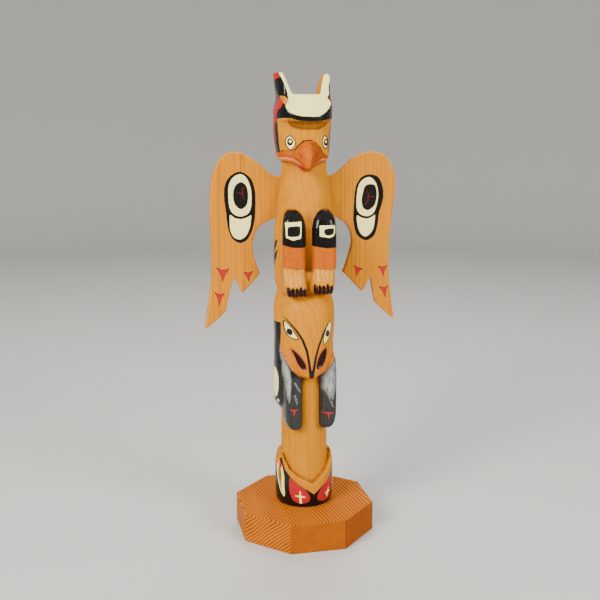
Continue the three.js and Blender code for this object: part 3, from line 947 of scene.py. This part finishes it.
@dataclass
class Legs:
    """Two legs with black thighs that carry a framed square, orange shanks and dark claws."""

    turn: float = -2.5
    fronts: Points = (
        (140, -26), (152, -26.6), (156, -25), (160, -24.4), (178, -24.4), (190, -23.9), (195.4, -22.7),
        (199, -20.7), (201.4, -18.2), (206, -14),
    )
    trunk: Points = ((140, 17.2), (154, 19.9), (168, 20.1), (188, 19.8), (198, 18.9), (208, 17.6))
    black_line: Points = (
        (-19, 179.8), (-12.3, 178.2), (-4.5, 178), (0.8, 178.8), (9.5, 177.4), (17, 177.8),
    )
    claw_places: tuple[float, ...] = (4.2, 6.8, 9.4, 12.0, 14.6)
    thicker: tuple[float, float] = (0.4, 0.95)
    inner_edges: tuple[float, float] = (1.9, 0.8)
    orange_line: Points = (
        (-19, 165), (-14, 164.6), (-10.3, 163.7), (-4.5, 164.4), (1, 164.5), (4.9, 163.7), (13.5, 163.4),
        (17, 163.6),
    )

    def dress(self, skin: Skin) -> None:
        """Paints and details the legs.

        Args:
            skin: the skin that is dressed.
        """
        across, back = skin.turned(self.turn)
        front = back - np.interp(skin.z, *zip(*self.fronts)) - 4.4
        inner = np.where(across < 0, *self.inner_edges)
        leg = np.maximum(front, np.maximum(inner - np.abs(across), np.abs(across) - 19))
        leg = np.maximum(leg, np.interp(skin.z, *zip(*self.trunk)) + 0.5 - skin.girth)
        black = level(skin.x, self.black_line) - skin.z
        orange = level(skin.x, self.orange_line) - skin.z
        skin.paint(Coat.BLACK, black, leg, skin.z - 203)
        skin.paint(Coat.ORANGE, orange, leg, skin.z - 203)
        for outside, inside in (
            ([(-17.1, 194.2), (-6.6, 194.5), (-6.8, 190), (-7.2, 184), (-12.5, 182.8), (-16.8, 184.6)],
             [(-15.8, 190.9), (-14.6, 191.6), (-8.6, 191.9), (-7.6, 191), (-8.4, 185.6), (-15.2, 185.2),
              (-16, 187)]),
            ([(4.7, 192), (15.3, 191.9), (15.1, 187), (13.6, 184.8), (11, 184), (8, 184.6), (4.8, 185)],
             [(8, 189.4), (9.4, 190), (13.8, 190.2), (14.3, 188.4), (13.6, 186.3), (10.4, 185.4),
              (8.2, 186.2), (7.4, 188)]),
        ):
            frame_line = skin.shape(outside)
            skin.paint(Coat.CREAM, frame_line, skin.y + 14)
            skin.paint(Coat.DARK, skin.shape(rounded(inside, 4)) + 0.1, skin.y + 14)
        self._shins(skin, leg, orange)
        self._claws(skin, leg)
        # Painted shade in the narrow gap between the legs, darkest at the bottom and fading upward.
        gap = soft(np.maximum(np.abs(across + 0.5) - 2.6, skin.y + 12), 0.8) * soft(161.6 - skin.z, 1.6)
        heights = (162, 172, 196, 202)
        skin.tint(Glaze.SHADE, gap * np.interp(skin.z, heights, (1, 0.85, 0.4, 0)))
        skin.tint(Glaze.DEPTH, gap * np.interp(skin.z, heights, (0.7, 0.5, 0.2, 0)))
        for stroke in ([(73, 181.6), (82, 178.6), (98, 173.6)], [(72, 175), (82, 170.8), (98, 164.8)]):
            for sign in (-1, 1):
                path = unrolled(stroke, LEG_ARC, sign)
                mark = brushed(skin.bearing * LEG_ARC, skin.z, path, [0.4, 2.0, 3.0])
                skin.paint(Coat.BLACK, mark, 18.6 - skin.girth)

    def _shins(self, skin: Skin, leg: Array, orange: Array) -> None:
        """Pale upright streaks with shallow flutes on the shins.

        Args:
            skin: the skin that is dressed.
            leg: signed distance from the legs' fronts.
            orange: above zero below the orange shanks.
        """
        shin = np.maximum(np.maximum(leg, -orange), np.where(skin.x < 0, 153.4, 156.4) - skin.z)
        lean = skin.x + 0.07 * (skin.z - 158) * np.sin(skin.x * 0.9)
        ribs = 0.55 * np.sin(lean * 2.1 + 0.7 * np.sin(skin.z * 0.35))
        ribs = ribs + 0.45 * np.sin(lean * 4.3 + 1.3 * np.sin(skin.z * 0.22 + skin.x * 0.4) + 1)
        skin.tint(Glaze.STREAK_AND_HIGHLIGHT, 0.75 * soft(shin, 0.4) * np.clip(0.4 + 0.75 * ribs, 0, 1))
        skin.carve(0.16 * soft(shin, 0.4) * (0.5 - 0.5 * ribs))

    def _claws(self, skin: Skin, leg: Array) -> None:
        """Dark claws at the feet's ends, with brown painted shade between them.

        Args:
            skin: the skin that is dressed.
            leg: signed distance from the legs' fronts.
        """
        across, _ = skin.turned(self.turn)
        foot = np.maximum(leg, skin.y + 21.5)
        for side, rise, thicker in zip((-1, 1), (0.0, 1.2), self.thicker):
            for i, place in enumerate(self.claw_places):
                centre = side * (place - thicker)
                top = 151.8 + 1.2 * rise + 0.5 * math.sin(2.3 * i + side)
                path = [(centre - 0.3, top), (centre, 148.6 + rise), (centre + 0.3, 145.6 + rise)]
                skin.paint(Coat.CLAW, brushed(across, skin.z, path, [0.95, 1.26, 1.0]), foot)
        # Painted shade along the feet, seen between the claws.
        band = np.maximum(skin.z - np.where(skin.x < 0, 152, 153.2), 145 - skin.z)
        skin.tint(Glaze.SHADE, 0.7 * soft(np.maximum(foot, band), 0.6))


# Whale


@dataclass
class Whale:
    """The whale's head with its brow lines, eyes, nostrils and jaw, its flanks and its flippers."""

    flipper_turn: float = 2.0
    brow: Points = (
        (1, 96), (2.5, 106), (5, 115.5), (8.5, 122), (12.2, 127), (15.4, 131), (17.5, 136),
        (19.5, 143), (21, 150),
    )
    jaw: Points = (
        (-24, 125), (-20.3, 114.6), (-18.8, 108.6), (-16.2, 102.6), (-13, 96.8), (-8, 92), (-1, 89.8),
        (1.6, 89.8), (6.8, 91.6), (11, 94.8), (15, 99.4), (18, 104.5), (20.5, 112), (24, 125),
    )

    def dress(self, skin: Skin) -> None:
        """Paints and details the whale.

        Args:
            skin: the skin that is dressed.
        """
        front = np.maximum(skin.y + 4, np.abs(skin.z - 116) - 30)
        skin.tint(Glaze.BLUSH, 0.4 * soft(front, 1) * np.clip((104 - skin.z) / 12, 0, 1) * (skin.z > 89.5))
        self._sockets(skin)
        self._lines(skin, front)
        self._eyes(skin, front)
        self._nostrils(skin, front)
        self._jaw(skin, front)
        self._flanks(skin)
        self._flippers(skin)

    def _sockets(self, skin: Skin) -> None:
        """Hollows round the eyes, cut sharply along the brow and running out over the cheeks.

        Args:
            skin: the skin that is dressed.
        """
        brow = level(np.abs(skin.x + 1.5), self.brow) - skin.z
        fade = np.clip((skin.z - 108) / 12, 0, 1) * np.clip((146 - skin.z) / 4, 0, 1)
        sides = np.clip((np.abs(skin.x + 1.5) - 4) / 9, 0, 1)
        head = np.clip((78 - np.abs(skin.bearing)) / 12, 0, 1)
        skin.carve(1.5 * soft(-brow, 0.5) * fade * sides * head * (skin.y < 0))

    def _lines(self, skin: Skin, front: Array) -> None:
        """Two tapering black lines that meet at the snout's tip.

        Args:
            skin: the skin that is dressed.
            front: above zero behind the whale's face.
        """
        left = [(-17.2, 132.4), (-14, 129), (-10.4, 124.4), (-6.6, 118.2), (-4, 111), (-2.6, 103),
                (-1.6, 95), (-1, 91.8)]
        right = [(18.4, 134.4), (15.8, 131.8), (13.4, 129), (10.6, 125), (7.8, 120.8), (4.2, 114.2),
                 (1.9, 107), (0.8, 100), (-0.2, 93.5), (-1, 91.8)]
        for path, widths in (
            (left, [0.25, 0.45, 0.65, 0.8, 0.85, 0.85, 1.0, 1.1]),
            (right, [0.4, 0.5, 0.6, 0.65, 0.7, 0.75, 0.8, 0.9, 1.0, 1.1]),
        ):
            line = skin.paint(Coat.DARK, skin.stroke(path, widths), front)
            skin.carve(0.3 * soft(line, 0.5))

    def _eyes(self, skin: Skin, front: Array) -> None:
        """Long cream eyes with black pupils and thin outlines.

        Args:
            skin: the skin that is dressed.
            front: above zero behind the whale's face.
        """
        left = rounded([(-17.8, 129.2), (-14.6, 126.8), (-12, 122.8), (-9.4, 118.8), (-11.8, 118.5),
                        (-15, 119.4), (-17, 122), (-17.8, 125.4)], 4)
        right = rounded([(15.6, 128), (15.8, 123.4), (14, 118.4), (9.6, 114.6), (8, 115.4), (8.2, 118.4),
                         (9.6, 122), (12.2, 126)], 4)
        for outline, pupil, across in ((left, (-14.8, 122.6), 1.75), (right, (12.4, 120.8), 2.0)):
            eye = skin.shape(outline)
            skin.paint(Coat.CREAM, eye, front)
            skin.paint(Coat.INK, eye, front)
            skin.paint(Coat.DARK, skin.spot(pupil, across, 2.2, 12), front)
            skin.carve(0.2 * soft(np.abs(np.maximum(eye, front)), 0.5))

    def _nostrils(self, skin: Skin, front: Array) -> None:
        """Hollow black nostrils in a red rim.

        Args:
            skin: the skin that is dressed.
            front: above zero behind the whale's face.
        """
        left = rounded([(-13.6, 111.7), (-9.8, 109.3), (-6.6, 105.4), (-4.6, 101.4), (-4.7, 98.7),
                        (-7, 98.7), (-9.8, 102.5), (-11.3, 106.6)], 4)
        right = rounded([(10.2, 111.8), (9.8, 106.4), (8, 101.8), (5.4, 99), (2.8, 98.8), (2.5, 102),
                         (3.8, 106.4), (6.6, 110.2)], 4)
        for outline in (left, right):
            hollow = np.maximum(skin.shape(outline), front)
            skin.tint(Glaze.BLUSH, 0.95 * soft(hollow - 0.9, 1.1))
            skin.paint(Coat.CLAW, hollow + 0.1)
            skin.carve(1.0 * soft(hollow + 0.6, 0.8))

    def _jaw(self, skin: Skin, front: Array) -> None:
        """A thin red mouth line along the jaw, with a row of small pale teeth over it.

        Args:
            skin: the skin that is dressed.
            front: above zero behind the whale's face.
        """
        above = skin.z - level(skin.x, self.jaw)
        sides = 5.5 - np.abs(skin.x)
        mouth = np.maximum(np.abs(above - 1.1) - 0.22, sides)
        skin.paint(Coat.RED, mouth, front)
        for i, height in enumerate(np.arange(96.0, 118.0, 2.1)):
            for side in (-1, 1):
                edge = [(x, z) for x, z in self.jaw if x * side > 4]
                heights, places = zip(*sorted((z, x) for x, z in edge))
                across = float(np.interp(height - 2.0, heights, places))
                tooth = skin.spot((across, height), 0.75, 0.8 + 0.15 * math.sin(2.1 * i))
                skin.paint(Coat.PINK, tooth, front)
                skin.tint(Glaze.BLUSH, 0.7 * soft(np.maximum(tooth - 0.5, front), 0.4))
        skin.carve(0.25 * soft(np.maximum(mouth, front), 0.4))

    def _flanks(self, skin: Skin) -> None:
        """Black flanks with a cream oval and a spot.

        Args:
            skin: the skin that is dressed.
        """
        around = np.abs(skin.bearing) * FLANK_ARC
        body = 17.2 - skin.girth
        top = np.where(skin.x < 0, 127.2, np.interp(around, (22, 30, 46), (104, 119, 123)))
        flank = np.maximum(np.maximum(22.6 - around, around - 46.5), skin.z - top)
        skin.paint(Coat.BLACK, flank, body, 64.5 - skin.z)
        skin.paint(Coat.CREAM, oval(around, skin.z, (30.2, 85.2), 5.4, 10.2), body)
        skin.paint(Coat.CREAM, oval(around, skin.z, (25.6, 73.2), 1.4, 1.0), body)

    def _flippers(self, skin: Skin) -> None:
        """Black flippers with a painted grey sheen, pale scratches through the paint and a red mark each.

        Args:
            skin: the skin that is dressed.
        """
        across, _ = skin.turned(self.flipper_turn)
        under_jaw = skin.z - level(skin.x, self.jaw) - 0.6
        shaft = np.maximum(np.where(across < 0, 4.9, 6.0) - np.abs(across), 16.5 - skin.girth)
        edge = np.maximum(shaft, skin.y + 7)
        flipper = np.maximum(np.maximum(edge, under_jaw), 54.8 - skin.z)
        skin.paint(Coat.BLACK, flipper)
        # Painted reflection: a grey sheen down the left flipper and over the right one, brightest low on
        # the right one; below a set height the flipper's black takes a faint grey tone.
        left = skin.shape([(-20, 115), (-18.2, 107), (-14.4, 97), (-13.4, 90), (-13.8, 82),
                           (-14.4, 75.5), (-15.4, 79), (-16.4, 90), (-18.4, 103), (-19.6, 111)])
        right = skin.shape([(17.4, 103), (17.6, 84), (15, 76), (11.5, 80), (8, 84), (7.4, 91), (11, 95)])
        left = np.maximum(left, (np.abs(skin.bearing) - 63) * FLIPPER_ARC)
        skin.tint(Glaze.WEAR_AND_SHEEN, soft(left, 1.0))
        skin.tint(Glaze.WEAR_AND_SHEEN, 0.66 * soft(right, 2.0))
        skin.tint(Glaze.WEAR_AND_SHEEN, soft(right + 2.2, 1.4) * (skin.z < 97))
        skin.tint(Glaze.WEAR_AND_SHEEN, 0.06 * soft(np.maximum(flipper, skin.z - 92), 1.0))
        for path in ([(-10.8, 88.4), (-6.9, 82)], [(-11.2, 80.6), (-8.9, 74)], [(12.2, 79), (15.6, 70.4)],
                     [(13.6, 82), (15.8, 76)]):
            scratch = skin.stroke(path, [0.3, 0.2])
            inside = np.maximum(np.maximum(scratch, flipper), skin.y + 14)
            skin.tint(Glaze.WEAR_AND_SHEEN, 0.9 * soft(inside, 0.3))
            skin.carve(0.3 * soft(inside, 0.4))
        for arms, foot in (
            ([(-14.2, 71), (-11.3, 69.8), (-8.3, 70.4)], (-11, 64.4)),
            ([(8, 67), (12.3, 66.2), (16.4, 66.4)], (12.4, 62)),
        ):
            bar = skin.stroke(arms, [0.2, 0.7, 0.2])
            post = skin.stroke([arms[1], foot], [0.65, 0.2])
            skin.paint(Coat.MARK, np.minimum(bar, post), skin.y + 14)


@dataclass
class Tail:
    """The flukes round the foot: a bare rim along the V, black below it, red drops with cream crosses."""

    turn: float = 7.5
    rim: Points = (
        (0, 9.6), (14.5, 13.4), (32, 17.6), (48.5, 21.9), (60, 25.8), (65.5, 29.4), (70, 32.6), (76, 33.2),
        (81, 30.4), (86, 27.4), (93, 25.4), (105, 24.8), (180, 24.8),
    )

    def dress(self, skin: Skin) -> None:
        """Paints and details the collar.

        Args:
            skin: the skin that is dressed.
        """
        bearing = (skin.bearing - self.turn + 180) % 360 - 180
        around = bearing * COLLAR_ARC
        collar = np.maximum(17 - skin.girth, skin.z - 38)
        edge = skin.z - level(np.abs(bearing), self.rim)
        black = skin.paint(Coat.BLACK, edge, collar, 0.35 - skin.z)
        skin.carve(0.25 * soft(np.abs(black), 0.45) * (skin.z > 1.5))
        drop = rounded([(49.5, 20.6), (42, 19.4), (28.5, 16.2), (15.5, 12.2), (8.2, 8.2), (9.6, 5),
                        (19.5, 3.4), (30.5, 3.4), (40.5, 4.8), (48, 8.8), (50, 14.4)], 4)
        leaf = rounded([(72, 29.4), (66.5, 25.6), (62, 20.5), (62.5, 14), (60.8, 9), (63.6, 6.2), (72, 8.6),
                        (80, 14.4), (87, 20.6), (89, 25.4), (84, 28.4), (77, 31)], 4)
        slit = [(75, 27.4), (71, 24), (69.5, 20), (71.5, 15.4), (69, 10.4), (66.5, 8.4), (74, 12.2),
                (81, 19), (82.5, 25)]
        for sign in (-1, 1):
            skin.paint(Coat.RED, filled(around, skin.z, unrolled(drop, COLLAR_ARC, sign)), collar)
            skin.paint(Coat.CREAM, filled(around, skin.z, unrolled(leaf, COLLAR_ARC, sign)), collar)
            inner = np.maximum(filled(around, skin.z, unrolled(slit, COLLAR_ARC, sign)), collar)
            skin.leave_bare((Coat.CREAM, Coat.BLACK), inner)
            skin.tint(Glaze.SHADE, 0.55 * soft(inner, 0.3))
            top = [(77, 31.6), (70, 29), (70.6, 26.2), (77, 25.4), (80.5, 28)]
            skin.paint(Coat.MARK, filled(around, skin.z, unrolled(top, COLLAR_ARC, sign)), collar)
        skin.leave_bare((Coat.BLACK,), np.maximum(skin.coats[Coat.RED], skin.z - 40))
        # Painted shade at the foot of the step above the rim.
        step = np.maximum(np.abs(skin.girth - 17.4) - 0.7, np.maximum(skin.z - 36, 8 - skin.z))
        skin.tint(Glaze.DEPTH, 0.35 * soft(np.maximum(step, -edge), 0.8))
        self._crosses(skin, around, collar)

    def _crosses(self, skin: Skin, around: Array, collar: Array) -> None:
        """A small cream cross on each drop.

        Args:
            skin: the skin that is dressed.
            around: lengths round the collar.
            collar: above zero off the collar.
        """
        for upright, arms in (
            ([(-27.6, 12), (-27, 7.8), (-26.2, 3.8)], [(-37, 8.6), (-27, 8.3), (-17.5, 7.9)]),
            ([(37.4, 11.8), (35.6, 8.8), (33.6, 6)], [(28, 8.1), (35, 8.8), (43, 8.8)]),
        ):
            post = brushed(around, skin.z, unrolled(upright, COLLAR_ARC), [0.4, 0.62, 0.75])
            beam = brushed(around, skin.z, unrolled(arms, COLLAR_ARC), [0.4, 0.7, 0.4])
            skin.paint(Coat.CREAM, np.minimum(post, beam), collar)


@dataclass
class Pole:
    """The carved pole, dressed from head to tail."""

    carving: Carving = field(default_factory=lambda: Carving("pole", "carved_pole", "pole_wood", 0.74, 2))

    def build(self) -> bpy.types.Object:
        """Grows the pole's skin, paints it and gives it tool marks.

        Returns:
            The finished piece.
        """
        piece = self.carving.grow()
        skin = Skin(piece)
        for part in (Head(), Legs(), Whale(), Tail()):
            part.dress(skin)
        self._tool_marks(skin)
        # Painted shade in the carving's hollows, stronger where they are deeper.
        skin.tint(Glaze.DEPTH, 0.75 * np.clip((skin.hollows() - 0.12) / 0.5, 0, 1))
        skin.finish()
        self.carving.place(piece, POLE_FINISH)
        return piece

    @staticmethod
    def _tool_marks(skin: Skin) -> None:
        """Shallow flats that a knife leaves, on the plain stretches.

        Args:
            skin: the skin that is dressed.
        """
        around = skin.bearing * KNIFE_ARC
        flats = np.abs(np.sin(around * 0.62 + 1.4 * np.sin(skin.z * 0.11)))
        flats = flats * np.abs(np.sin(skin.z * 0.21 + 1.1 * np.sin(around * 0.5)))
        skin.carve(0.12 * flats)


# Wings


@dataclass
class WingPaint:
    """The painted outlines of one wing, as distances out from the axis and heights."""

    outer: Points
    ring: Points
    eye: Points
    lower: Points
    crescent: Points
    thread: Points
    marks: Sequence[Points]


LEFT_PAINT = WingPaint(
    outer=((41.5, 225.2), (47.6, 223), (51.6, 217.5), (52.5, 209.5), (51.4, 199.6), (50.8, 193),
           (49.9, 187.9), (47.4, 182), (42.4, 179), (37.3, 181.5), (33.9, 188.4), (32.6, 194.4),
           (32.2, 199.6), (32, 207), (32.4, 213.5), (34.9, 220.8)),
    ring=((41.8, 223.6), (46.4, 221.6), (49.2, 217), (49.7, 210.3), (48.9, 202), (46, 197.8), (41.8, 196.4),
          (37.2, 198), (35, 202.4), (34.6, 209), (35.2, 215), (37.8, 221.2)),
    eye=((41.8, 218.6), (45.4, 215.8), (46.7, 210.2), (45.6, 204.4), (41.8, 201), (38, 203.4), (36.8, 208),
         (37, 213), (38.4, 216.8)),
    lower=((48.8, 197.4), (49, 191.4), (48.5, 187.2), (46.5, 183), (42.4, 181.4), (38.4, 183.8),
           (36, 188.8), (35.2, 193), (34.9, 197.2), (37, 195.9), (41.8, 194.6), (46, 195.6)),
    crescent=((39.6, 216.4), (40.6, 213.6), (40.5, 210.5), (39, 206.4)),
    thread=((40.5, 211.4), (44.6, 211.5)),
    marks=(((54.1, 159), (57.9, 163.2), (49.7, 162.3), (54.3, 154)),
           ((56.5, 142.9), (59.4, 146.9), (53.3, 146.3), (56.8, 138.4)),
           ((37.2, 157.5), (40.3, 159.9), (34.2, 160.1), (37, 153.9))),
)
RIGHT_PAINT = WingPaint(
    outer=((45.2, 222.6), (39.4, 220.8), (36.2, 216), (35, 211), (34.3, 201), (34.1, 194.6), (34.5, 189.4),
           (36.9, 182.3), (43.1, 178.6), (48.7, 181.6), (51, 188.4), (51.9, 196.4), (53.6, 202),
           (54.8, 207.4), (54.4, 213.9), (51.2, 220.6)),
    ring=((45.2, 220.8), (40.4, 219.2), (37.6, 215.4), (36.5, 210.4), (36.2, 203), (37, 198.6),
          (39.8, 195.8), (44.3, 194.9), (48.3, 197.2), (50.4, 203), (51.2, 210), (49.4, 217)),
    eye=((45.4, 216.2), (42, 214.9), (40.6, 211), (39.7, 205.4), (40.8, 200.6), (44.2, 198.8),
         (48.4, 201.6), (50, 206), (50.2, 210.6), (48.9, 215.2)),
    lower=((36.6, 195.4), (37.2, 188.6), (39.4, 183.2), (42.9, 181.2), (46.4, 183.6), (48.4, 187.6),
           (49.2, 195.4), (48, 194.9), (44.4, 193.2), (39.8, 193.9)),
    crescent=((42.9, 213.2), (44.4, 209.4), (44, 205), (41.2, 201.8)),
    thread=((44.4, 207.8), (49, 207.8)),
    marks=(((55.4, 158.1), (52, 160.9), (58.4, 161.1), (55.7, 153.9)),
           ((56.5, 143.9), (53, 146.7), (59.2, 146.9), (57.5, 139.2)),
           ((37.5, 159.2), (34.7, 161.8), (41, 159.4), (36.8, 154.6))),
)


@dataclass
class Wing:
    """One wing board with its painted feather eye and three red marks."""

    side: int
    art: WingPaint
    carving: Carving

    def build(self) -> bpy.types.Object:
        """Grows the board's skin and paints its front.

        Returns:
            The finished piece.
        """
        piece = self.carving.grow()
        skin = Skin(piece)
        out = skin.x * self.side
        front = (skin.facing[:, 1] + 0.6) * 3
        for coat, outline in (
            (Coat.BLACK, self.art.outer), (Coat.CREAM, self.art.ring),
            (Coat.CREAM, self.art.lower), (Coat.DARK, self.art.eye),
        ):
            self._paint(skin, coat, filled(out, skin.z, rounded(outline, 3)), front)
        crescent = brushed(out, skin.z, self.art.crescent, [0.15, 0.4, 0.4, 0.15])
        self._paint(skin, Coat.FADED, crescent, front)
        self._paint(skin, Coat.FADED, brushed(out, skin.z, self.art.thread, [0.35, 0.2]), front)
        for centre, *tips in self.art.marks:
            mark = filled(out, skin.z, three_cusps(tips, centre)) - 0.2
            self._paint(skin, Coat.RED, mark, front)
            skin.paint(Coat.INK, mark * 2.6, front)
        # A painted highlight along the front's rounded edge.
        skin.tint(Glaze.STREAK_AND_HIGHLIGHT, 0.7 * soft(np.abs(skin.facing[:, 1] + 0.68) - 0.16, 0.14))
        skin.finish()
        self.carving.place(piece, WING_FINISH)
        return piece

    @staticmethod
    def _paint(skin: Skin, coat: Coat, distance: Array, front: Array) -> None:
        """Paints an area on the front face alone, with the small ridge that thick paint leaves."""
        area = skin.paint(coat, distance, front)
        skin.carve(-0.05 * soft(area, 0.4))


# Block


@dataclass
class Block:
    """The octagonal block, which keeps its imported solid."""

    node: str = "base"

    def dress(self) -> None:
        """Gives the block its ringed softwood."""
        material = BLOCK_FINISH.build()
        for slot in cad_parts[self.node].material_slots:
            slot.material = material


# Studio


@dataclass
class Studio:
    """A plain pale floor that curves up into its rim, soft lights and the camera."""

    floor_radius: float = 1.5
    rim_radius: float = 2.1
    rim_height: float = 1.1
    eye: tuple[float, float, float] = (-132.1, -576.7, 252.3)
    gaze: tuple[float, float, float] = (0.2151, 0.9585, -0.1869)
    lens: float = 54.0

    def build(self) -> None:
        """Builds the floor, the lights and the camera."""
        self._floor()
        self._light("key", (-0.85, -0.75, 0.8), 0.5, 26.0, (1.0, 0.93, 0.8))
        self._light("fill", (0.65, -0.85, 0.6), 0.4, 11.0, (1.0, 0.94, 0.84))
        self._light("top", (0.15, 0.45, 1.05), 0.6, 9.0, (1.0, 0.98, 0.94))
        world = bpy.data.worlds.new("studio air")
        world.use_nodes = True
        background = world.node_tree.nodes["Background"]
        background.inputs[0].default_value = (0.9, 0.88, 0.84, 1)
        background.inputs[1].default_value = 0.18
        bpy.context.scene.world = world
        self._camera()

    def _floor(self) -> None:
        """A wide disc whose edge is swept up to a low wall."""
        bpy.ops.object.select_all(action="DESELECT")
        bpy.ops.mesh.primitive_circle_add(vertices=96, radius=self.floor_radius, fill_type="NGON")
        floor = bpy.context.object
        floor.name = "pale_floor"
        bpy.ops.object.mode_set(mode="EDIT")
        bpy.ops.mesh.select_all(action="SELECT")
        steps = 8
        wide = self.rim_radius - self.floor_radius
        last = 1.0
        for i in range(1, steps + 1):
            angle = math.pi / 2 * i / steps
            radius = self.floor_radius + wide * math.sin(angle)
            before = self.rim_height * (1 - math.cos(math.pi / 2 * (i - 1) / steps))
            rise = self.rim_height * (1 - math.cos(angle)) - before
            bpy.ops.mesh.extrude_region_move(TRANSFORM_OT_translate={"value": (0, 0, rise)})
            grow = radius / self.floor_radius
            bpy.ops.transform.resize(value=(grow / last, grow / last, 1), center_override=(0, 0, 0))
            last = grow
        bpy.ops.object.mode_set(mode="OBJECT")
        bpy.ops.object.shade_smooth()
        bench = Bench("pale floor paint")
        bench.feed(bench.shader.inputs["Base Color"], (0.56, 0.57, 0.58))
        bench.feed(bench.shader.inputs["Roughness"], 0.6)
        floor.data.materials.append(bench.material)

    @staticmethod
    def _light(name: str, place: tuple[float, float, float], size: float, power: float,
               colour: tuple[float, float, float]) -> None:
        """Adds a soft square light aimed at the pole's middle.

        Args:
            name: the name it is given.
            place: where it stands, in metres.
            size: its side in metres.
            power: its power in watts.
            colour: its colour.
        """
        lamp = bpy.data.lights.new(name, "AREA")
        lamp.size = size
        lamp.energy = power
        lamp.color = colour
        holder = bpy.data.objects.new(name, lamp)
        bpy.context.scene.collection.objects.link(holder)
        aim = Vector(LIT_PLACE) - Vector(place)
        holder.matrix_world = Matrix.Translation(place) @ aim.to_track_quat("-Z", "Y").to_matrix().to_4x4()

    def _camera(self) -> None:
        """Sets the camera where the photograph was taken from."""
        lens = bpy.data.cameras.new("photo view")
        lens.lens = self.lens
        lens.sensor_width = 36
        lens.clip_start = 0.01
        lens.clip_end = 20
        holder = bpy.data.objects.new("photo view", lens)
        bpy.context.scene.collection.objects.link(holder)
        place = Vector(self.eye) * MM + Vector((0, 0, BASE_TOP))
        gaze = Vector(self.gaze).to_track_quat("-Z", "Y").to_matrix().to_4x4()
        holder.matrix_world = Matrix.Translation(place) @ gaze
        bpy.context.scene.camera = holder


def main() -> None:
    """Builds every part in order."""
    logging.basicConfig(level=logging.INFO, format="%(name)s: %(message)s")
    builders: list[Callable[[], bpy.types.Object]] = [
        Pole().build,
        Wing(-1, LEFT_PAINT, Carving("wing_left", "painted_wing_left", "wing_wood", 0.62, 2)).build,
        Wing(1, RIGHT_PAINT, Carving("wing_right", "painted_wing_right", "wing_wood", 0.62, 2)).build,
    ]
    for build in builders:
        piece = build()
        log.info("%s is dressed", piece.name)
    Block().dress()
    log.info("base is dressed")
    Studio().build()


if __name__ == "__main__":
    main()
